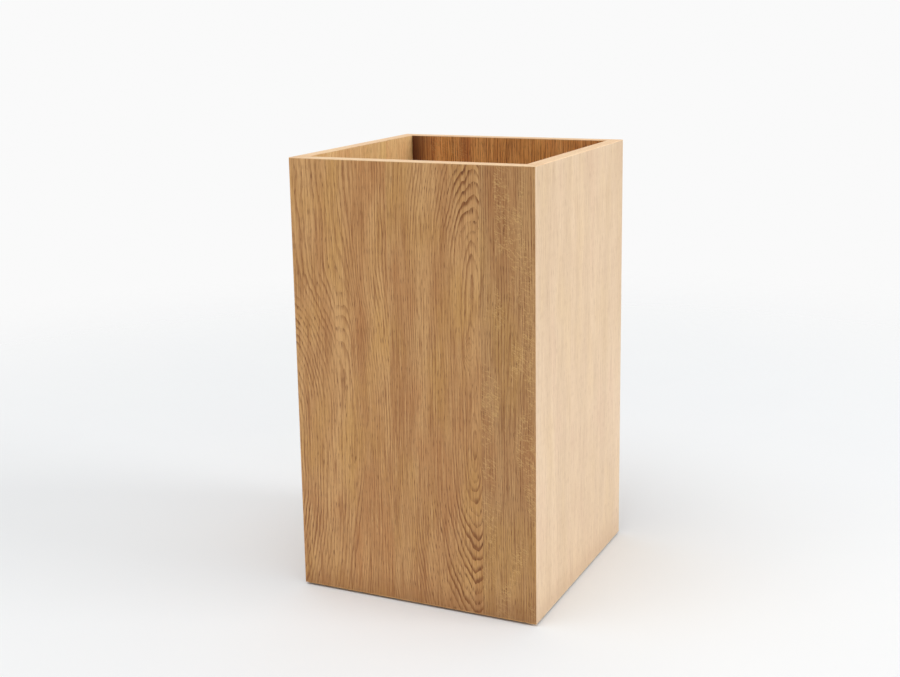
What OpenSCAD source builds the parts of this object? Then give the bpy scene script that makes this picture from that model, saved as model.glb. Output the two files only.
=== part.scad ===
// Open-topped square litter bin of oak-veneered board, with mitred corners and a lift-out liner.
// Millimetres. +Z is up, -Y is the front, and the origin is the middle of the footprint on the floor.

/* [Body] */
// Outer width of the box, left to right
body_w = 350; // [260:5:450]
// Outer depth of the box, front to back
body_d = 350; // [260:5:450]
// Height of the rim above the floor
overall_h = 605; // [420:5:800]
// Finished thickness of the veneered wall boards
board_t = 18; // [15:0.5:25]
// Thickness of the oak veneer on each face of a wall board
veneer_t = 0.6; // [0.5:0.1:1.5]
// Radius that eases the four upright outer corners
corner_ease = 0.4; // [0.2:0.1:1]

/* [Edge bands] */
// Thickness of the oak band glued to the rim and to the foot of each wall
band_t = 1; // [0.5:0.1:2]
// Radius that eases the two long edges of a rim band
band_ease = 0.4; // [0.2:0.1:0.5]

/* [Bottom panel] */
// Thickness of the bottom panel
floor_t = 12; // [9:1:18]
// Depth of the groove in each wall that holds the bottom panel
groove_depth = 7; // [5:0.5:9]
// Clearance between the edge of the bottom panel and the end of its groove
groove_end_gap = 0.5; // [0.2:0.1:1]
// Clearance between the top of the bottom panel and the groove
groove_top_gap = 0.2; // [0.1:0.05:0.4]

/* [Corner blocks] */
// Height of the glue blocks, which is the depth of the recess under the bottom panel
block_h = 22; // [18:1:40]
// Length of a block's two legs along the walls
block_leg = 60; // [52:2:80]
// Width of the blunt end on each leg
block_tip = 8; // [6:1:12]
// Size of the corner cut from a block to clear the glue in the joint
block_relief = 2; // [1:0.5:3]

/* [Biscuits] */
// Number of biscuits in each mitre
biscuit_count = 4; // [2:1:6]
// Length of a biscuit
biscuit_l = 53; // [40:1:56]
// Width of a biscuit
biscuit_w = 19; // [15:1:20]
// Thickness of a biscuit
biscuit_t = 4; // [3:0.5:4]
// Width of the blunt end of a biscuit
biscuit_tip = 4; // [3:0.5:5]
// Clearance around the faces of a biscuit in its slot
biscuit_gap = 0.1; // [0.05:0.05:0.2]
// Extra depth of each half of the slot past the edge of the biscuit
slot_extra_depth = 0.5; // [0.3:0.1:0.8]
// Radius of the cutter that makes the slots
cutter_r = 50; // [45:1:55]
// Distance of the slot from the inner end of the mitre, along either wall
biscuit_heel = 5; // [4:0.5:6]
// Distance from the rim and from the bottom panel to the nearest biscuit's middle
biscuit_margin = 70; // [50:5:90]

/* [Glides] */
// Diameter of a glide
glide_d = 24; // [20:1:28]
// Thickness of a glide, which is the gap under the walls
glide_h = 3; // [3:0.5:6]
// Radius that rounds the lower edge of a glide
glide_ease = 0.8; // [0.5:0.1:1.2]
// Distance of the glide's middle from the inner face of either wall
glide_inset = 16; // [15:1:20]

/* [Screws] */
// Shank diameter of the screws that hold the glides
glide_screw_d = 3; // [2.5:0.5:3.5]
// Length of the screws that hold the glides
glide_screw_l = 16; // [12:1:18]
// Head diameter of the screws that hold the glides
glide_screw_head_d = 6; // [5.5:0.5:6.5]
// Depth of the countersunk head below the glide's lower face
glide_screw_sink = 0.4; // [0.2:0.1:0.6]
// Shank diameter of the screws that hold the blocks to the bottom panel
block_screw_d = 3.5; // [3:0.5:4]
// Depth that these screws reach into the bottom panel
block_screw_bite = 7; // [5:0.5:8]
// Head diameter of the screws that hold the blocks
block_screw_head_d = 7; // [6:0.5:8]
// Depth of these heads below the lower face of the block
block_screw_sink = 0.5; // [0.3:0.1:1]
// Distance of a block screw from the wall that its leg runs along
block_screw_near = 10; // [8:1:12]
// Distance of a block screw from the other wall
block_screw_far = 40; // [38:1:42]
// Clearance around a screw in its hole
screw_gap = 0.05; // [0.02:0.01:0.1]

/* [Liner] */
// Thickness of the liner's sheet steel
liner_t = 0.7; // [0.6:0.1:1.5]
// Clearance between the liner and the walls
liner_gap = 5; // [3:0.5:10]
// Distance from the rim of the box down to the top of the liner
liner_drop = 70; // [60:5:120]
// Outside radius of the liner's upright bends
liner_bend_r = 6; // [4:0.5:12]
// Width of the lip that is turned in at the top
liner_lip = 15; // [10:1:20]
// Width of the seam where the ends of the wall sheet overlap
liner_lap = 15; // [10:1:20]
// Height of the flange that joins the bottom pan to the walls
pan_flange = 12; // [8:1:20]

/* [Hidden] */
$fn = 48;
FRONT = 0;
RIGHT = 1;
BACK = 2;
LEFT = 3;
// Corner k is where wall k begins, going round anticlockwise as seen from above.
FRONT_LEFT = 0;
FRONT_RIGHT = 1;
BACK_RIGHT = 2;
BACK_LEFT = 3;
CORNERS = [FRONT_LEFT, FRONT_RIGHT, BACK_RIGHT, BACK_LEFT];
CORNER_SIGNS = [[-1, -1], [1, -1], [1, 1], [-1, 1]];
through = 1; // how far a cut runs past the face that it opens

wall_foot_z = glide_h + band_t;
wall_top_z = overall_h - band_t;
floor_z = glide_h + block_h;
floor_top_z = floor_z + floor_t;
inner_w = body_w - 2 * board_t;
inner_d = body_d - 2 * board_t;
floor_w = inner_w + 2 * (groove_depth - groove_end_gap);
floor_d = inner_d + 2 * (groove_depth - groove_end_gap);

liner_top_z = overall_h - liner_drop;
liner_w = inner_w - 2 * liner_gap;
liner_d = inner_d - 2 * liner_gap;
lip_h = 2 * liner_t; // the edge of the lip is folded flat under it

biscuit_low_z = floor_top_z + biscuit_margin;
biscuit_high_z = overall_h - biscuit_margin;
biscuit_step = (biscuit_high_z - biscuit_low_z) / (biscuit_count - 1);
biscuit_heights = [for (n = [0 : biscuit_count - 1]) biscuit_low_z + n * biscuit_step];
biscuit_half = biscuit_w / 2;
biscuit_r = (pow(biscuit_l / 2, 2) + pow(biscuit_half, 2)) / biscuit_w;

screw_tip_share = 1.2; // length of a screw's point in shank diameters
screw_point_d = 0.6;
head_angle_share = 0.55; // height of a countersunk head over its overhang
recess_span_share = 0.5; // span of the cross recess over the head diameter
recess_depth_share = 0.9; // depth of the cross recess over the height of the head
recess_arm = 0.8;
lens_fn = 96;

oak = "burlywood";
band_oak = "wheat";
fibreboard = "tan";
beech = "navajowhite";
pine = "moccasin";
nylon = "dimgray";
zinc = "silver";
galvanised = "lightsteelblue";

// A corner of the box, moved in by the given depth from both outer faces.
function corner_at(k, depth) =
  let (s = CORNER_SIGNS[k % 4]) [s.x * (body_w / 2 - depth), s.y * (body_d / 2 - depth)];

// Outline of one side between two depths, mitred at both ends.
function side_outline(side, outer_depth, inner_depth) = [
  corner_at(side, outer_depth),
  corner_at(side + 1, outer_depth),
  corner_at(side + 1, inner_depth),
  corner_at(side, inner_depth),
];

// ---- Outlines and cuts that several pieces share ----

// The outside of the box as an upright prism with eased corners.
module eased_prism(low_z, high_z) {
  h = high_z - low_z;
  w = body_w - 2 * corner_ease;
  d = body_d - 2 * corner_ease;
  translate([-body_w / 2, -d / 2, low_z]) cube([body_w, d, h]);
  translate([-w / 2, -body_d / 2, low_z]) cube([w, body_d, h]);
  for (k = CORNERS) {
    at = corner_at(k, corner_ease);
    translate([at.x, at.y, low_z]) cylinder(h = h, r = corner_ease);
  }
}

// A mitred slab of one side between two depths.
module side_slab(side, outer_depth, inner_depth, low_z, high_z) {
  translate([0, 0, low_z])
    linear_extrude(height = high_z - low_z)
      polygon(side_outline(side, outer_depth, inner_depth));
}

// The groove that runs round the inside of the walls for the bottom panel.
module floor_groove() {
  w = inner_w + 2 * groove_depth;
  d = inner_d + 2 * groove_depth;
  translate([-w / 2, -d / 2, floor_z]) cube([w, d, floor_t + groove_top_gap]);
}

// A flat lens standing on edge: two arcs of one radius, half_w each side of the mitre, thick along Y.
module lens(radius, half_w, thickness) {
  intersection_for (s = [-1, 1])
    translate([s * (radius - half_w), 0, 0])
      rotate([90, 0, 0]) cylinder(h = thickness, r = radius, center = true, $fn = lens_fn);
}

// Places its children at every biscuit of one corner, with Y along the mitre.
module at_biscuits(k) {
  at = corner_at(k, board_t - biscuit_heel);
  s = CORNER_SIGNS[k];
  for (z = biscuit_heights)
    translate([at.x, at.y, z]) rotate([0, 0, s.x * s.y * -45]) children();
}

module biscuit_slots(k) {
  at_biscuits(k)
    lens(cutter_r, biscuit_half + slot_extra_depth, biscuit_t + 2 * biscuit_gap);
}

// Places its children in one corner of the base, with X and Y running along the two inner faces.
module in_corner(k, z) {
  at = corner_at(k, board_t);
  s = CORNER_SIGNS[k];
  translate([at.x, at.y, z])
    mirror([s.x > 0 ? 1 : 0, 0, 0]) mirror([0, s.y > 0 ? 1 : 0, 0]) children();
}

// Places its children at the two block screws of a corner, inside in_corner.
module at_block_screws() {
  translate([block_screw_far, block_screw_near, 0]) children();
  translate([block_screw_near, block_screw_far, 0]) children();
}

// A countersunk wood screw that points up, with the face of its head at z = 0.
module wood_screw(shank_d, head_d, length) {
  head_h = (head_d - shank_d) * head_angle_share;
  tip_l = shank_d * screw_tip_share;
  recess_h = head_h * recess_depth_share;
  recess_span = head_d * recess_span_share;
  difference() {
    union() {
      cylinder(h = head_h, d1 = head_d, d2 = shank_d);
      translate([0, 0, head_h]) cylinder(h = length - head_h - tip_l, d = shank_d);
      translate([0, 0, length - tip_l]) cylinder(h = tip_l, d1 = shank_d, d2 = screw_point_d);
    }
    for (a = [0, 90])
      rotate([0, 0, a])
        translate([-recess_span / 2, -recess_arm / 2, -through])
          cube([recess_span, recess_arm, recess_h + through]);
  }
}

// The hole for that screw: a bore with a countersink, sunk below the face at z = 0.
module screw_hole(shank_d, head_d, sink, length) {
  head_h = (head_d - shank_d) * head_angle_share;
  translate([0, 0, -through]) cylinder(h = sink + through, d = head_d + 2 * screw_gap);
  translate([0, 0, sink])
    cylinder(h = head_h, d1 = head_d + 2 * screw_gap, d2 = shank_d + 2 * screw_gap);
  translate([0, 0, -through]) cylinder(h = length + through, d = shank_d + 2 * screw_gap);
}

// ---- Walls ----

module wall_core(side) {
  color(fibreboard)
    difference() {
      side_slab(side, veneer_t, board_t - veneer_t, wall_foot_z, wall_top_z);
      floor_groove();
      biscuit_slots(side);
      biscuit_slots((side + 1) % 4);
    }
}

module outer_veneer(side) {
  color(oak)
    intersection() {
      side_slab(side, 0, veneer_t, wall_foot_z, wall_top_z);
      eased_prism(wall_foot_z, wall_top_z);
    }
}

module inner_veneer(side) {
  color(oak)
    difference() {
      side_slab(side, board_t - veneer_t, board_t, wall_foot_z, wall_top_z);
      floor_groove();
    }
}

// A bar along X, board_t wide in Y from y = 0 and band_t high, with both upper edges rounded.
module eased_bar(length) {
  rotate([90, 0, 90])
    linear_extrude(height = length, center = true) {
      square([board_t, band_t - band_ease]);
      translate([band_ease, 0]) square([board_t - 2 * band_ease, band_t]);
      for (y = [band_ease, board_t - band_ease])
        translate([y, band_t - band_ease]) circle(r = band_ease);
    }
}

module rim_band(side) {
  along_x = side == FRONT || side == BACK;
  length = along_x ? body_w : body_d;
  depth = along_x ? body_d : body_w;
  color(band_oak)
    intersection() {
      side_slab(side, 0, board_t, wall_top_z, overall_h);
      eased_prism(wall_top_z, overall_h);
      rotate([0, 0, side * 90]) translate([0, -depth / 2, wall_top_z]) eased_bar(length);
    }
}

module foot_band(side) {
  color(band_oak)
    intersection() {
      side_slab(side, 0, board_t, glide_h, wall_foot_z);
      eased_prism(glide_h, wall_foot_z);
    }
}

module biscuits(k) {
  color(beech)
    at_biscuits(k)
      intersection() {
        lens(biscuit_r, biscuit_half, biscuit_t);
        cube([biscuit_w, biscuit_t, biscuit_l - biscuit_tip], center = true);
      }
}

// ---- Base ----

module bottom_panel() {
  color(oak)
    difference() {
      translate([-floor_w / 2, -floor_d / 2, floor_z]) cube([floor_w, floor_d, floor_t]);
      for (k = CORNERS)
        in_corner(k, floor_z)
          at_block_screws()
            translate([0, 0, -through])
              cylinder(h = block_screw_bite + through + screw_gap, d = block_screw_d + 2 * screw_gap);
    }
}

module block(k) {
  color(pine)
    in_corner(k, glide_h)
      difference() {
        linear_extrude(height = block_h)
          polygon([
            [block_relief, 0], [block_leg, 0], [block_leg, block_tip],
            [block_tip, block_leg], [0, block_leg], [0, block_relief],
          ]);
        at_block_screws()
          screw_hole(block_screw_d, block_screw_head_d, block_screw_sink, block_h + through);
        translate([glide_inset, glide_inset, -through])
          cylinder(
            h = glide_screw_sink + glide_screw_l - glide_h + through + screw_gap,
            d = glide_screw_d + 2 * screw_gap
          );
      }
}

module block_screws() {
  color(zinc)
    for (k = CORNERS)
      in_corner(k, glide_h + block_screw_sink)
        at_block_screws()
          wood_screw(block_screw_d, block_screw_head_d,
                     block_h - block_screw_sink + block_screw_bite);
}

// A round glide with a rounded lower edge and a countersunk hole.
module glide(k) {
  r = glide_d / 2;
  color(nylon)
    in_corner(k, 0)
      translate([glide_inset, glide_inset, 0])
        difference() {
          rotate_extrude() {
            square([r - glide_ease, glide_h]);
            translate([0, glide_ease]) square([r, glide_h - glide_ease]);
            translate([r - glide_ease, glide_ease]) circle(r = glide_ease);
          }
          screw_hole(glide_screw_d, glide_screw_head_d, glide_screw_sink, glide_h + through);
        }
}

module glide_screws() {
  color(zinc)
    for (k = CORNERS)
      in_corner(k, glide_screw_sink)
        translate([glide_inset, glide_inset, 0])
          wood_screw(glide_screw_d, glide_screw_head_d, glide_screw_l);
}

// ---- Liner ----

// An upright prism with rounded corners, moved in by the given depth from the outside of the liner.
module liner_prism(depth, low_z, high_z) {
  w = liner_w - 2 * depth;
  d = liner_d - 2 * depth;
  r = liner_bend_r - depth;
  translate([0, 0, low_z])
    linear_extrude(height = high_z - low_z) {
      square([w, d - 2 * r], center = true);
      square([w - 2 * r, d], center = true);
      for (s = CORNER_SIGNS)
        translate([s.x * (w / 2 - r), s.y * (d / 2 - r)]) circle(r = r);
    }
}

// One sheet folded round four sides, lapped on itself at the back, with a lip turned in at the top.
module liner_walls() {
  lip_z = liner_top_z - lip_h;
  lap_z = floor_top_z + pan_flange;
  mouth_w = liner_w - 2 * liner_lip;
  mouth_d = liner_d - 2 * liner_lip;
  color(galvanised) {
    difference() {
      liner_prism(0, floor_top_z, liner_top_z);
      liner_prism(liner_t, floor_top_z - through, lip_z);
      translate([-mouth_w / 2, -mouth_d / 2, lip_z - through])
        cube([mouth_w, mouth_d, lip_h + 2 * through]);
    }
    translate([-liner_lap / 2, liner_d / 2 - 2 * liner_t, lap_z])
      cube([liner_lap, liner_t, lip_z - lap_z]);
  }
}

module liner_pan() {
  color(galvanised)
    difference() {
      liner_prism(liner_t, floor_top_z, floor_top_z + pan_flange);
      liner_prism(2 * liner_t, floor_top_z + liner_t, floor_top_z + pan_flange + through);
    }
}

// ---- Assembly ----

wall_core(FRONT);  // front_core
wall_core(RIGHT);  // right_core
wall_core(BACK);  // back_core
wall_core(LEFT);  // left_core
outer_veneer(FRONT);  // front_outer_veneer
outer_veneer(RIGHT);  // right_outer_veneer
outer_veneer(BACK);  // back_outer_veneer
outer_veneer(LEFT);  // left_outer_veneer
inner_veneer(FRONT);  // front_inner_veneer
inner_veneer(RIGHT);  // right_inner_veneer
inner_veneer(BACK);  // back_inner_veneer
inner_veneer(LEFT);  // left_inner_veneer
rim_band(FRONT);  // front_rim_band
rim_band(RIGHT);  // right_rim_band
rim_band(BACK);  // back_rim_band
rim_band(LEFT);  // left_rim_band
foot_band(FRONT);  // front_foot_band
foot_band(RIGHT);  // right_foot_band
foot_band(BACK);  // back_foot_band
foot_band(LEFT);  // left_foot_band
biscuits(FRONT_LEFT);  // front_left_biscuits
biscuits(FRONT_RIGHT);  // front_right_biscuits
biscuits(BACK_RIGHT);  // back_right_biscuits
biscuits(BACK_LEFT);  // back_left_biscuits
bottom_panel();
block(FRONT_LEFT);  // front_left_block
block(FRONT_RIGHT);  // front_right_block
block(BACK_RIGHT);  // back_right_block
block(BACK_LEFT);  // back_left_block
block_screws();
glide(FRONT_LEFT);  // front_left_glide
glide(FRONT_RIGHT);  // front_right_glide
glide(BACK_RIGHT);  // back_right_glide
glide(BACK_LEFT);  // back_left_glide
glide_screws();
liner_walls();
liner_pan();
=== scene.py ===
"""Open-topped litter bin of oak-veneered board, in a plain pale studio."""

import math
from dataclasses import dataclass, field

import bpy
from mathutils import Matrix, Vector


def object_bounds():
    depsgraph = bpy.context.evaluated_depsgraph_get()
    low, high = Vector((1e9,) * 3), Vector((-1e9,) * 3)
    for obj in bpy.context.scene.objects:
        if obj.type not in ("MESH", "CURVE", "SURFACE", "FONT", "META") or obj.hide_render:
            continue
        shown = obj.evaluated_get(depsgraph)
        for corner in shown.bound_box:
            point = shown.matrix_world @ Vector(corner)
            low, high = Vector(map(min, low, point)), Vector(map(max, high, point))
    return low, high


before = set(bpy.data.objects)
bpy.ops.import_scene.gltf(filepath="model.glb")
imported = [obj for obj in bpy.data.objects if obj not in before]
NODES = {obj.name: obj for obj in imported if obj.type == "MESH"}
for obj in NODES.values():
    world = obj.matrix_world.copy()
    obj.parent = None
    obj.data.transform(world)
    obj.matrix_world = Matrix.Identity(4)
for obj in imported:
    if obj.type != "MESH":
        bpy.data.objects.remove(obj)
cad_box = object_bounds()

SIDES = ("front", "right", "back", "left")
CORNERS = ("front_left", "front_right", "back_right", "back_left")
X, Y, Z = 0, 1, 2
LOW, HIGH = cad_box
SIZE = HIGH - LOW
CENTRE = (LOW + HIGH) / 2


# ---- Camera ----

EYE = Vector((0.767, -1.696, 0.793))  # where the photographer stood, in metres
TURN = math.radians(25.0)  # how far left of straight ahead the camera looks
TILT = math.radians(11.95)  # how far it looks down
ROLL = math.radians(-0.92)  # the right-hand side of the camera hangs a little low
SENSOR = 36.0
LENS = 53.65
RISE = -0.05  # a small shift of the lens, which keeps the upright edges nearer to parallel


def make_camera():
    """A camera at the photograph's viewing angle."""
    data = bpy.data.cameras.new("camera")
    data.sensor_width = SENSOR
    data.lens = LENS
    data.shift_y = RISE
    camera = bpy.data.objects.new("camera", data)
    bpy.context.scene.collection.objects.link(camera)
    level = Matrix.Rotation(TURN, 4, "Z") @ Matrix.Rotation(math.pi / 2 - TILT, 4, "X")
    camera.matrix_world = Matrix.Translation(EYE) @ level @ Matrix.Rotation(ROLL, 4, "Z")
    bpy.context.scene.camera = camera


# ---- Numbers worked out by shader nodes ----

EASE_AT_ZERO = 0.06  # how softly a number is kept above zero
EASE_AT_MOST = 0.02  # and below its most


class Number:
    """A number that shader nodes work out at each point. The usual signs combine it with others."""

    def __init__(self, tree, socket):
        self.tree = tree
        self.socket = socket

    def math(self, operation, *others):
        """The result of one operation, with this number first."""
        node = self.tree.nodes.new("ShaderNodeMath")
        node.operation = operation
        self.tree.links.new(self.socket, node.inputs[0])
        for other, slot in zip(others, node.inputs[1:]):
            connect(self.tree, other, slot)
        return Number(self.tree, node.outputs[0])

    def __add__(self, other):
        return self.math("ADD", other)

    def __sub__(self, other):
        return self.math("SUBTRACT", other)

    def __mul__(self, other):
        return self.math("MULTIPLY", other)

    def __truediv__(self, other):
        return self.math("DIVIDE", other)

    def __pow__(self, other):
        return self.math("POWER", other)

    def __neg__(self):
        return self * -1.0

    def exp(self):
        return self.math("EXPONENT")

    def softly_above_zero(self):
        """The number itself where it is positive, easing to 0 where it is not."""
        return self.math("SMOOTH_MAX", 0.0, EASE_AT_ZERO)

    def softly_below(self, most):
        """The number itself, easing to most where it would pass it."""
        return self.math("SMOOTH_MIN", most, EASE_AT_MOST)

    def between(self, low, high):
        """0 at low, 1 at high, and a smooth step from one to the other. Low may be the larger."""
        node = self.tree.nodes.new("ShaderNodeMapRange")
        node.interpolation_type = "SMOOTHSTEP"
        node.inputs["From Min"].default_value = low
        node.inputs["From Max"].default_value = high
        self.tree.links.new(self.socket, node.inputs["Value"])
        return Number(self.tree, node.outputs["Result"])


def connect(tree, value, slot):
    """Puts a number or a colour into a socket, by a link if nodes work it out."""
    if isinstance(value, Number):
        tree.links.new(value.socket, slot)
    elif isinstance(value, bpy.types.NodeSocket):
        tree.links.new(value, slot)
    else:
        slot.default_value = value


def place(tree, kind="Object"):
    """The three coordinates of the point, in metres, or of a direction in the world."""
    here = tree.nodes.new("ShaderNodeTexCoord")
    split = tree.nodes.new("ShaderNodeSeparateXYZ")
    tree.links.new(here.outputs[kind], split.inputs[0])
    return [Number(tree, out) for out in split.outputs]


NOISE_MIDDLE = 0.5  # what a noise is on average


def noise(tree, across, along, seed, detail=2.0, rough=0.5):
    """Smooth noise from about 0 to 1, over two coordinates in units of its own grain."""
    pack = tree.nodes.new("ShaderNodeCombineXYZ")
    for value, slot in zip((across, along, seed), pack.inputs):
        connect(tree, value, slot)
    node = tree.nodes.new("ShaderNodeTexNoise")
    node.inputs["Scale"].default_value = 1.0
    node.inputs["Detail"].default_value = detail
    node.inputs["Roughness"].default_value = rough
    tree.links.new(pack.outputs[0], node.inputs["Vector"])
    return Number(tree, node.outputs["Fac"])


def mix(tree, share, first, second):
    """A colour between two others."""
    node = tree.nodes.new("ShaderNodeMix")
    node.data_type = "RGBA"
    for value, name in ((share, "Factor_Float"), (first, "A_Color"), (second, "B_Color")):
        slot = next(s for s in node.inputs if s.identifier == name)
        connect(tree, value, slot)
    return next(s for s in node.outputs if s.identifier == "Result_Color")


def scaled(tree, colour, factor):
    """A colour made lighter or darker."""
    node = tree.nodes.new("ShaderNodeVectorMath")
    node.operation = "SCALE"
    tree.links.new(colour, node.inputs[0])
    connect(tree, factor, node.inputs["Scale"])
    return node.outputs[0]


def rgb(red, green, blue):
    """A linear colour from the 0 to 255 values of a screen colour, by the sRGB curve."""
    def linear(v):
        v = v / 255
        return v / 12.92 if v <= 0.04045 else ((v + 0.055) / 1.055) ** 2.4
    return (linear(red), linear(green), linear(blue), 1.0)


def new_material(name, **settings):
    """A material whose shader has the given values on its own sockets."""
    material = bpy.data.materials.new(name)
    material.use_nodes = True
    shader = material.node_tree.nodes["Principled BSDF"]
    for key, value in settings.items():
        shader.inputs[key.replace("_", " ").title().replace("Ior", "IOR")].default_value = value
    return material, material.node_tree, shader


def add_bump(tree, shader, height, distance):
    """Raises the surface by height times distance, which is in metres."""
    bump = tree.nodes.new("ShaderNodeBump")
    bump.inputs["Strength"].default_value = 1.0
    bump.inputs["Distance"].default_value = distance
    connect(tree, height, bump.inputs["Height"])
    tree.links.new(bump.outputs["Normal"], shader.inputs["Normal"])


# ---- Oak: what a surface is described by ----


@dataclass
class Eye:
    """A narrow closed figure beside the heart line, where the rings bulge."""
    across: float  # its middle, as a share of the face's width
    along: float  # its middle, as a share of the face's height
    width: float  # in metres
    length: float  # in metres
    rings: float  # how many rings it holds


@dataclass
class Leaf:
    """One leaf of veneer. Its growth rings nest round a heart line, and close in arches."""
    start: float  # its left edge, as a share of the face's width
    seed: float
    tone: float = 0.0  # lighter above 0, darker below
    rays: float = 0.0  # how much ray fleck shows
    gap: float = 0.0036  # distance between growth rings where the grain is straight, in metres
    heart: float = -3.0  # where the heart line runs, as a share of the face's width
    calm: float = 0.012  # half the width of the plain stretch along the heart, in metres
    above: float = 0.75  # where the arches start to close upward, as a share of the height
    below: float = 0.33  # where they start to close downward
    rise: float = 0.15  # how fast they close upward, in metres of ring to a metre of height
    fall: float = 0.2  # how fast they close downward
    most: float = 0.2  # how far they close at most, in metres of ring
    bold: float = 0.6  # how much darker the rings are where they close
    eyes: list = field(default_factory=list)


@dataclass
class Tones:
    """The colours of one oak surface."""
    light: tuple
    mid: tuple
    dark: tuple
    pore: tuple
    yellow: tuple  # patches where the wood is yellower
    red: tuple  # and redder
    ray: tuple = rgb(232, 188, 118)
    contrast: float = 1.0  # how strongly rings and pores show
    corner: float = 0.0  # how much painted shade darkens the wood into the face's left corner


@dataclass
class Pattern:
    """Smooth noise on the wood. Its grains have a width and a length in metres."""
    width: float
    length: float
    seed: float
    detail: float = 2.0
    rough: float = 0.5


@dataclass
class Cover:
    """How a noise covers the wood with a colour: from none at low to strength at high."""
    low: float
    high: float
    strength: float

    def share(self, number, contrast=1.0):
        """How much of the colour shows where the noise has this number."""
        return number.between(self.low, self.high) * (self.strength * contrast)


# ---- Oak: growth rings ----

# What bends the rings, from broad to fine, and by how many rings.
SWAY, SWAY_RINGS = Pattern(1 / 14, 1 / 1.8, 0.0, detail=1.0), 5.0
WAVE, WAVE_RINGS = Pattern(1 / 60, 1 / 16, 3.0), 1.5
SHAKE, SHAKE_RINGS = Pattern(1 / 260, 1 / 60, 5.0, detail=1.0), 0.3

BOLD_REACH = 0.045  # how far from the heart line the closing rings stay dark, in metres
BOLD_START = 0.012  # how much closing, in metres of ring, makes them wholly dark
BOLD_END = (1.02, 0.60)  # they fade again between these shares of the most closing
UPWARD_SHARE = 0.5  # arches that close upward darken at half the rate
PALE_RINGS = 0.6  # how dark the rings are elsewhere

# The parts of one ring, from 0 at its start to 1 at the next: porous early wood near its end.
EARLY_STARTS = (0.35, 0.90)
EARLY_ENDS = (1.0, 0.93)

RING_STEP = 0.43  # how unlike each other neighbouring rings are
RING_SEED = 1.7
RING_STRENGTHS = (0.15, 0.70)
FADING = Pattern(0.020, 0.14, 4.0)
FADING_RANGE = (0.20, 0.65)


class Face:
    """Where a point lies on a face of veneer, in metres from the face's lowest corner."""

    def __init__(self, tree, side_axis, grain_axis):
        point = place(tree)
        self.tree = tree
        self.across = point[side_axis] - LOW[side_axis]
        self.along = point[grain_axis] - LOW[grain_axis]
        self.width = SIZE[side_axis]
        self.height = SIZE[grain_axis]

    def noise(self, pattern, seed=0.0, across=None, along=None):
        """A pattern's noise here, or at a point that has been moved to bend the pattern."""
        across = (across or self.across) / pattern.width
        along = (along or self.along) / pattern.length
        return noise(self.tree, across, along, seed + pattern.seed, pattern.detail, pattern.rough)

    def chosen(self, masks, values):
        """The value that belongs to the leaf at this point."""
        total = Number(self.tree, self.tree.nodes.new("ShaderNodeValue").outputs[0])
        total.socket.default_value = values[0]
        for mask, before, after in zip(masks, values, values[1:]):
            total = total + mask * (after - before)
        return total


def bulge(face, eye):
    """How many rings an eye adds at this point."""
    dx = (face.across - eye.across * face.width) / eye.width
    dz = (face.along - eye.along * face.height) / eye.length
    return (-(dx * dx + dz * dz)).exp() * eye.rings


def rings_of(face, leaf):
    """Counts the growth rings from the heart line out, and says how dark they are."""
    aside = face.across - leaf.heart * face.width
    up = (face.along - leaf.above * face.height).softly_above_zero() * leaf.rise
    down = (-face.along + leaf.below * face.height).softly_above_zero() * leaf.fall
    closing = (up + down).softly_below(leaf.most)
    depth = closing + leaf.calm
    count = (aside * aside + depth * depth) ** 0.5 / leaf.gap
    for eye in leaf.eyes:
        count = count - bulge(face, eye)
    for pattern, rings in ((SWAY, SWAY_RINGS), (WAVE, WAVE_RINGS), (SHAKE, SHAKE_RINGS)):
        count = count + face.noise(pattern, leaf.seed) * rings
    starts = (down + up * UPWARD_SHARE).between(0.0, BOLD_START)
    ends = closing.between(leaf.most * BOLD_END[0], leaf.most * BOLD_END[1])
    near = (aside * aside * (-1.0 / BOLD_REACH ** 2)).exp() * starts * ends
    return count, near * leaf.bold + PALE_RINGS


def rings_of_all(face, leaves, masks):
    """The same for a face of several leaves. Each mask is 1 from its leaf's left edge on."""
    count, boldness = rings_of(face, leaves[0])
    for mask, leaf in zip(masks, leaves[1:]):
        own_count, own_boldness = rings_of(face, leaf)
        count = count + mask * (own_count - count)
        boldness = boldness + mask * (own_boldness - boldness)
    return count, boldness


def early_wood(face, count, boldness, seed):
    """How porous the wood is within a ring, and how much darker the ring shows."""
    phase = count.math("FRACT")
    early = phase.between(*EARLY_STARTS) * phase.between(*EARLY_ENDS)
    ring_number = count.math("FLOOR")
    strength = noise(face.tree, ring_number * RING_STEP, seed, RING_SEED, detail=0.0)
    fading = face.noise(FADING, seed).between(*FADING_RANGE)
    return early, early * strength.between(*RING_STRENGTHS) * fading * boldness


# ---- Oak: fibres, pores, rays and wear ----

DRIFT, DRIFT_WIDTH = Pattern(1 / 9, 1 / 3, 6.0, detail=1.0), 0.012  # bends the fibres, in metres
BANDS = Pattern(0.030, 0.40, 7.0)
HUE = Pattern(0.05, 0.16, 9.0)
FIBRES = Pattern(0.0020, 0.08, 11.0, detail=3.0, rough=0.65)
FINE_FIBRES = Pattern(0.0011, 0.05, 13.0, rough=0.6)
PORES = Pattern(0.0008, 0.012, 17.0, detail=1.0)

LIGHT_BANDS = Cover(0.30, 0.70, 1.0)
YELLOWER = Cover(0.45, 0.70, 0.6)
REDDER = Cover(0.48, 0.30, 0.4)
LIGHT_STREAKS = Cover(0.50, 0.30, 0.75)
DARK_STREAKS = Cover(0.50, 0.68, 0.62)
FINE_STREAKS = Cover(0.50, 0.72, 0.42)
DARK_PORES = Cover(0.52, 0.68, 0.75)
LATE_PORES = 0.22  # how many pores there are outside the early wood

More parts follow.
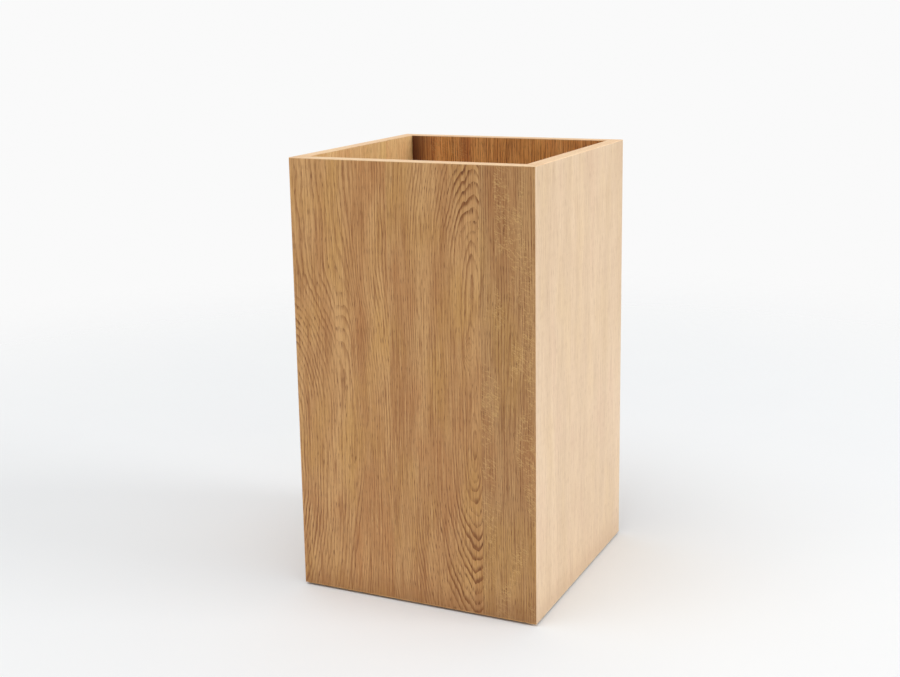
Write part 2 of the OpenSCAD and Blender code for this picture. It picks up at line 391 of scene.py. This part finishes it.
# Ray fleck follows the contours of one noise, slanting across the grain, within patches of another.
RAYS = Pattern(1 / 70, 1 / 150, 23.0, rough=0.6)
RAY_SLANT = 70 / 150
RAY_THICKNESS = 0.035
RAY_PATCHES = Pattern(1 / 34, 1 / 9, 29.0)
RAY_PATCH_RANGE = (0.46, 0.56)
RAY_STRENGTH = 0.5

WEAR_WIDTH = 0.004  # how far the wear along the edges reaches in, in metres
WEAR_BORDER = Pattern(1 / 240, 1 / 240, 3.0, detail=3.0)
WEAR_STRENGTH = 0.3
FOOT_DARK_REACH = 0.045  # how far the wood darkens towards its foot, in metres
FOOT_STRENGTH = 0.4
CORNER_SHADE_START = 0.067  # where the painted shade of a corner begins, in metres from the face's left edge
CORNER_SHADE_FULL = 0.015  # and where it is darkest

TONE_STEP = 0.12  # how much lighter a leaf is for each unit of its tone
OAK_ROUGHNESS = 0.42
OAK_IOR = 1.5
PORE_DULLNESS = 0.25  # how much rougher the pores are
FIBRE_DULLNESS = 0.08  # how much the roughness changes from fibre to fibre
WEAR_SHINE = 0.1  # how much smoother a worn edge is
OAK_RELIEF = 0.00012  # how deep the pores are, in metres
FIBRE_RISE = 0.2  # how high the fibres stand, as a share of that
RING_SINK = 0.4  # and how deep the dark rings lie


def ray_fleck(face, seed):
    """1 on the thin light threads of the rays."""
    slanting = face.along + face.across * RAY_SLANT
    thread = face.noise(RAYS, seed, along=slanting) - NOISE_MIDDLE
    patch = face.noise(RAY_PATCHES, seed).between(*RAY_PATCH_RANGE)
    return thread.math("ABSOLUTE").between(RAY_THICKNESS, 0.0) * patch


def worn_edge(face):
    """1 along the four edges of a face, and 0 a few millimetres in, with a ragged border."""
    from_side = face.across.math("MINIMUM", -face.across + face.width)
    from_end = face.along.math("MINIMUM", -face.along + face.height)
    ragged = (face.noise(WEAR_BORDER) - NOISE_MIDDLE) * (2.0 * WEAR_WIDTH)
    return (from_side.math("MINIMUM", from_end) + ragged).between(WEAR_WIDTH, 0.0)


def oak(name, side_axis, grain_axis, leaves, tones):
    """Oak veneer whose grain runs along one axis, in leaves side by side along the other."""
    material, tree, shader = new_material(name, roughness=OAK_ROUGHNESS, ior=OAK_IOR)
    face = Face(tree, side_axis, grain_axis)
    masks = [face.across.math("GREATER_THAN", leaf.start * face.width) for leaf in leaves[1:]]
    seed = face.chosen(masks, [leaf.seed for leaf in leaves])
    tone = face.chosen(masks, [leaf.tone for leaf in leaves])
    rays = face.chosen(masks, [leaf.rays for leaf in leaves])
    contrast = tones.contrast

    count, boldness = rings_of_all(face, leaves, masks)
    early, rings = early_wood(face, count, boldness, seed)
    rings = rings * contrast
    grain = face.across + face.noise(DRIFT, seed) * DRIFT_WIDTH
    bands = face.noise(BANDS, seed, grain)
    hue = face.noise(HUE, seed, grain)
    fibres = face.noise(FIBRES, seed, grain)
    fine = face.noise(FINE_FIBRES, seed, grain)
    pores = DARK_PORES.share(face.noise(PORES, seed, grain), contrast) * (early * boldness + LATE_PORES)
    worn = worn_edge(face)
    foot = face.along.between(FOOT_DARK_REACH, 0.0)

    colour = tones.mid
    for share, other in (
        (LIGHT_BANDS.share(bands), tones.light),
        (YELLOWER.share(hue, contrast), tones.yellow),
        (REDDER.share(hue, contrast), tones.red),
        (LIGHT_STREAKS.share(fibres, contrast), tones.light),
        (DARK_STREAKS.share(fibres, contrast), tones.dark),
        (rings, tones.dark),
        (pores, tones.pore),
        (FINE_STREAKS.share(fine, contrast), tones.dark),
        (ray_fleck(face, seed) * rays * RAY_STRENGTH, tones.ray),
        (worn * WEAR_STRENGTH, tones.light),
        (foot * FOOT_STRENGTH, tones.dark),
    ):
        colour = mix(tree, share, colour, other)
    # painted shade: the wood darkens into the face's left corner, where the walls meet
    if tones.corner:
        corner = face.across.between(CORNER_SHADE_START, CORNER_SHADE_FULL) * tones.corner
        colour = mix(tree, corner, colour, tones.pore)
    tree.links.new(scaled(tree, colour, tone * TONE_STEP + 1.0), shader.inputs["Base Color"])

    dullness = pores * PORE_DULLNESS + (fibres - NOISE_MIDDLE) * FIBRE_DULLNESS - worn * WEAR_SHINE
    connect(tree, dullness + OAK_ROUGHNESS, shader.inputs["Roughness"])
    add_bump(tree, shader, fibres * FIBRE_RISE - rings * RING_SINK - pores, OAK_RELIEF)
    return material


# ---- The bin's oak ----

OUTSIDE = Tones(
    light=rgb(214, 166, 108),
    mid=rgb(187, 133, 78),
    dark=rgb(146, 91, 40),
    pore=rgb(108, 60, 22),
    yellow=rgb(202, 152, 82),
    red=rgb(188, 126, 70),
    contrast=1.15,
)
RIGHT_PAINTED_SHEEN = Tones(  # painted light and sheen: the right side's oak, made paler as the lamp on the right lights it and glances off it
    light=rgb(232, 204, 170),
    mid=rgb(222, 193, 158),
    dark=rgb(198, 162, 126),
    pore=rgb(170, 132, 98),
    yellow=rgb(228, 198, 154),
    red=rgb(224, 188, 158),
    contrast=0.8,
)
# painted light: the inside oak, made paler as the lamp on the right lights the inside of the left wall;
# these tones also serve the other inner walls except the back's, and the floor panel
INSIDE_PAINTED_LIGHT = Tones(
    light=rgb(254, 214, 152),
    mid=rgb(248, 198, 136),
    dark=rgb(208, 148, 88),
    pore=rgb(160, 102, 52),
    yellow=rgb(250, 206, 132),
    red=rgb(244, 186, 128),
    contrast=1.2,
)
SHADED = Tones(  # painted shade: the inside of the back, darker as it lies in shade
    light=rgb(244, 174, 100),
    mid=rgb(214, 136, 70),
    dark=rgb(146, 80, 32),
    pore=rgb(92, 42, 12),
    yellow=rgb(222, 150, 74),
    red=rgb(206, 116, 58),
    contrast=1.3,
    # painted shade in the left corner
    corner=1.0,
)
# painted light: the oak of the rim's edge bands, made paler as the light from above falls on their tops
RIM_PAINTED_LIGHT = Tones(
    light=rgb(255, 224, 180),
    mid=rgb(254, 212, 167),
    dark=rgb(226, 173, 122),
    pore=rgb(190, 136, 88),
    yellow=rgb(254, 217, 165),
    red=rgb(254, 204, 163),
    contrast=0.7,
)

OUTER_LEAVES = {
    "front": [
        Leaf(0.0, 1.0, tone=0.35, gap=0.0042, heart=-0.06, calm=0.014, above=0.44, below=0.24,
             rise=0.40, fall=0.24, most=0.070, bold=0.9,
             eyes=[Eye(0.235, 0.62, 0.013, 0.120, 3.0), Eye(0.27, 0.33, 0.012, 0.090, 3.0)]),
        Leaf(0.41, 2.0, gap=0.0033, heart=0.75, calm=0.015, above=0.79, below=0.31,
             rise=0.24, fall=0.22, bold=1.05,
             eyes=[Eye(0.735, 0.60, 0.008, 0.016, 3.5), Eye(0.76, 0.40, 0.008, 0.05, 2.5)]),
        Leaf(0.785, 3.0, tone=-1.0, rays=1.0, gap=0.0034),
    ],
    "right": [
        Leaf(0.0, 14.0),
        Leaf(0.37, 15.0, tone=0.1),
        Leaf(0.72, 16.0),
    ],
    "back": [
        Leaf(0.0, 24.0, rays=0.5),
        Leaf(0.33, 25.0, tone=0.15, heart=0.5, above=0.5, below=0.35),
        Leaf(0.71, 26.0, tone=-0.1),
    ],
    "left": [
        Leaf(0.0, 34.0, heart=0.17, above=0.7, below=0.5),
        Leaf(0.4, 35.0, tone=-0.15, rays=0.6),
        Leaf(0.7, 36.0, tone=0.1),
    ],
}
INNER_SEED = 50.0
BAND_SEED = 80.0
PANEL_LEAVES = [Leaf(0.0, 91.0), Leaf(0.3, 92.0, tone=0.1), Leaf(0.66, 93.0, tone=-0.1)]


def inner_leaves(side):
    """Straight-grained leaves with the same joints as outside."""
    outer = OUTER_LEAVES[side]
    return [Leaf(leaf.start, leaf.seed + INNER_SEED, leaf.tone, leaf.rays) for leaf in outer]


def dress(node, material):
    """Gives a CAD node one material all over."""
    slots = NODES[node].data.materials
    slots.clear()
    slots.append(material)


def dress_side(side):
    """Both veneers of one wall, and the bands on its rim and foot."""
    side_axis = X if side in ("front", "back") else Y
    # the right side's oak, its foot band included, carries painted light and sheen
    outer = RIGHT_PAINTED_SHEEN if side == "right" else OUTSIDE
    # the inside of the back carries painted shade
    inner = SHADED if side == "back" else INSIDE_PAINTED_LIGHT
    strip = [Leaf(0.0, BAND_SEED + len(side))]
    dress(side + "_outer_veneer", oak(side + "_oak", side_axis, Z, OUTER_LEAVES[side], outer))
    dress(side + "_inner_veneer", oak(side + "_inner_oak", side_axis, Z, inner_leaves(side), inner))
    # the rim's bands carry painted light from above
    dress(side + "_rim_band", oak(side + "_rim_oak", 1 - side_axis, side_axis, strip, RIM_PAINTED_LIGHT))
    dress(side + "_foot_band", oak(side + "_foot_oak", 1 - side_axis, side_axis, strip, outer))


def dress_oak():
    """The four walls and the floor panel."""
    for side in SIDES:
        dress_side(side)
    # the floor panel's oak carries the same painted light as the inner walls
    dress("bottom_panel", oak("panel_oak", Y, X, PANEL_LEAVES, INSIDE_PAINTED_LIGHT))


# ---- Other materials ----

SPECKLE_SEED = 5.0
SPECKLES = Cover(0.35, 0.65, 0.5)
SPECKLE_LEAN = 1.3  # keeps the grains from lining up on faces at right angles
SPECKLE_DULLNESS = 0.2  # how much the roughness changes from grain to grain

ZINC_DARK = rgb(196, 200, 203)
ZINC_LIGHT = rgb(222, 225, 227)
ZINC_STAIN = rgb(176, 179, 181)
CRYSTALS = 85.0  # zinc crystals to a metre, along a line
CRYSTAL_RELIEF = 0.00003
CRYSTAL_DULLNESS = 0.16
STAINS = Cover(0.45, 0.70, 0.3)
STAIN_ACROSS, STAIN_UP = 9, 5  # grey stains to a metre
STAIN_SEED = 2.0
STAIN_DULLNESS = 0.1
STEEL_ROUGHNESS = 0.34  # of the smoothest crystals


def speckled(name, base, other, size, bump=0.0001, stretch=1.0, **settings):
    """A material of two mixed colours. Its grains' size and the bump's depth are in metres.
    Stretch makes the grains longer than they are wide."""
    material, tree, shader = new_material(name, **settings)
    x, y, z = place(tree)
    along = (y + z * SPECKLE_LEAN) / (size * stretch)
    grain = noise(tree, x / size, along, SPECKLE_SEED, detail=4.0, rough=0.65)
    colour = mix(tree, SPECKLES.share(grain), base, other)
    tree.links.new(colour, shader.inputs["Base Color"])
    dullness = (grain - NOISE_MIDDLE) * SPECKLE_DULLNESS + settings["roughness"]
    connect(tree, dullness, shader.inputs["Roughness"])
    add_bump(tree, shader, grain, bump)
    return material


def galvanised():
    """Zinc-coated steel: flat crystals, each a slightly different grey."""
    material, tree, shader = new_material("galvanised_steel", metallic=1.0, roughness=STEEL_ROUGHNESS)
    here = tree.nodes.new("ShaderNodeTexCoord")
    crystals = tree.nodes.new("ShaderNodeTexVoronoi")
    crystals.inputs["Scale"].default_value = CRYSTALS
    tree.links.new(here.outputs["Object"], crystals.inputs["Vector"])
    split = tree.nodes.new("ShaderNodeSeparateColor")
    tree.links.new(crystals.outputs["Color"], split.inputs[0])
    flake = Number(tree, split.outputs[0])
    x, y, z = place(tree)
    stain = noise(tree, (x + y) * STAIN_ACROSS, z * STAIN_UP, STAIN_SEED, detail=3.0)
    colour = mix(tree, flake, ZINC_DARK, ZINC_LIGHT)
    colour = mix(tree, STAINS.share(stain), colour, ZINC_STAIN)
    tree.links.new(colour, shader.inputs["Base Color"])
    dullness = flake * CRYSTAL_DULLNESS + stain * STAIN_DULLNESS + STEEL_ROUGHNESS
    connect(tree, dullness, shader.inputs["Roughness"])
    add_bump(tree, shader, flake, CRYSTAL_RELIEF)
    return material


def dress_others():
    """The cores, biscuits, blocks, glides and screws, and the steel liner."""
    board = speckled("fibreboard", rgb(176, 146, 108), rgb(142, 112, 78), size=0.0008,
                     roughness=0.8)
    beech = speckled("beech", rgb(214, 176, 132), rgb(184, 140, 98), size=0.0012, stretch=6.0,
                     roughness=0.6)
    pine = speckled("pine", rgb(226, 196, 146), rgb(198, 154, 100), size=0.004, stretch=9.0,
                    roughness=0.6)
    nylon = speckled("nylon", rgb(38, 38, 39), rgb(52, 52, 53), size=0.0006, bump=0.00004,
                     roughness=0.5)
    zinc = speckled("zinc_plate", rgb(190, 192, 194), rgb(168, 171, 175), size=0.0015, bump=0.00002,
                    roughness=0.34, metallic=1.0)
    for side in SIDES:
        dress(side + "_core", board)
    for corner in CORNERS:
        dress(corner + "_biscuits", beech)
        dress(corner + "_block", pine)
        dress(corner + "_glide", nylon)
    dress("block_screws", zinc)
    dress("glide_screws", zinc)
    steel = galvanised()
    dress("liner_walls", steel)
    dress("liner_pan", steel)


# ---- Studio ----

FLOOR_REACH = 9.0  # half the length of its sides, in metres
FLOOR_DARK = rgb(238, 240, 242)
FLOOR_LIGHT = rgb(241, 243, 244)
FLOOR_ROUGHNESS = 0.9
FLOOR_SOLID = 0.75  # the floor is whole within this distance of the bin
FLOOR_GONE = 2.3  # and has faded into the backdrop by this one
FLOOR_DROP = 0.0002  # keeps the floor just clear of the feet
MOTTLE = 3.0  # faint patches on the floor to a metre, along a line
MOTTLE_SEED = 1.0
WHITE = (1.0, 1.0, 1.0, 1.0)
BACKDROP = 0.955  # how bright the backdrop looks
# The white room round the bin: how bright it is all round, and what each direction adds.
ALL_ROUND = 0.47
FROM_RIGHT = 0.04
FROM_FRONT = 0.07
FROM_ABOVE = 0.20
FROM_BELOW = 0.35  # the bright floor goes on beyond its faded edge, as the bin sees it
HORIZON = (0.02, -0.06)  # where the room turns into that floor
# The lamps: where they are and their width and height, in metres, and their power in watts.
KEY_PLACE, KEY_SIZE, KEY_WATTS = Vector((6.0, 0.9, 2.3)), (2.4, 1.8), 150.0
TOP_PLACE, TOP_SIZE, TOP_WATTS = Vector((-1.0, -2.4, 9.4)), (8.0, 8.0), 402.0


def make_floor():
    """A pale floor that fades into the backdrop, so that no horizon shows."""
    r = FLOOR_REACH
    mesh = bpy.data.meshes.new("floor")
    mesh.from_pydata([(-r, -r, 0), (r, -r, 0), (r, r, 0), (-r, r, 0)], [], [(0, 1, 2, 3)])
    floor = bpy.data.objects.new("floor", mesh)
    bpy.context.scene.collection.objects.link(floor)
    floor.location.z = LOW.z - FLOOR_DROP
    material, tree, shader = new_material("studio_floor", roughness=FLOOR_ROUGHNESS)
    x, y, _ = place(tree)
    away = (x * x + y * y) ** 0.5
    mottle = noise(tree, x * MOTTLE, y * MOTTLE, MOTTLE_SEED, detail=3.0)
    tree.links.new(mix(tree, mottle, FLOOR_DARK, FLOOR_LIGHT), shader.inputs["Base Color"])
    clear = tree.nodes.new("ShaderNodeBsdfTransparent")
    blend = tree.nodes.new("ShaderNodeMixShader")
    connect(tree, away.between(FLOOR_SOLID, FLOOR_GONE), blend.inputs[0])
    tree.links.new(shader.outputs[0], blend.inputs[1])
    tree.links.new(clear.outputs[0], blend.inputs[2])
    tree.links.new(blend.outputs[0], tree.nodes["Material Output"].inputs["Surface"])
    mesh.materials.append(material)


def make_world():
    """A white backdrop to the camera, and a softer light on the bin from all round."""
    world = bpy.data.worlds.new("studio")
    world.use_nodes = True
    tree = world.node_tree
    light = tree.nodes["Background"]
    light.inputs["Color"].default_value = WHITE
    x, y, z = place(tree, "Generated")
    below = z.between(*HORIZON)
    glow = x * FROM_RIGHT - y * FROM_FRONT + z * FROM_ABOVE + below * FROM_BELOW + ALL_ROUND
    connect(tree, glow, light.inputs["Strength"])
    seen = tree.nodes.new("ShaderNodeBackground")
    seen.inputs["Color"].default_value = WHITE
    seen.inputs["Strength"].default_value = BACKDROP
    path = tree.nodes.new("ShaderNodeLightPath")
    blend = tree.nodes.new("ShaderNodeMixShader")
    tree.links.new(path.outputs["Is Camera Ray"], blend.inputs[0])
    tree.links.new(light.outputs[0], blend.inputs[1])
    tree.links.new(seen.outputs[0], blend.inputs[2])
    tree.links.new(blend.outputs[0], tree.nodes["World Output"].inputs["Surface"])
    bpy.context.scene.world = world


def softbox(name, place_at, size, watts):
    """A large lamp that faces the bin and that the camera doesn't see."""
    data = bpy.data.lights.new(name, "AREA")
    data.shape = "RECTANGLE"
    data.size, data.size_y = size
    data.energy = watts
    lamp = bpy.data.objects.new(name, data)
    bpy.context.scene.collection.objects.link(lamp)
    lamp.location = place_at
    lamp.rotation_euler = (CENTRE - lamp.location).to_track_quat("-Z", "Y").to_euler()
    lamp.visible_camera = False


def light_studio():
    """A nearly even white room, with one lamp from the right and a larger one overhead."""
    make_world()
    softbox("key", KEY_PLACE, KEY_SIZE, KEY_WATTS)
    softbox("top", TOP_PLACE, TOP_SIZE, TOP_WATTS)
    view = bpy.context.scene.view_settings
    view.view_transform = "Standard"
    view.look = "None"


make_camera()
make_floor()
light_studio()
dress_oak()
dress_others()
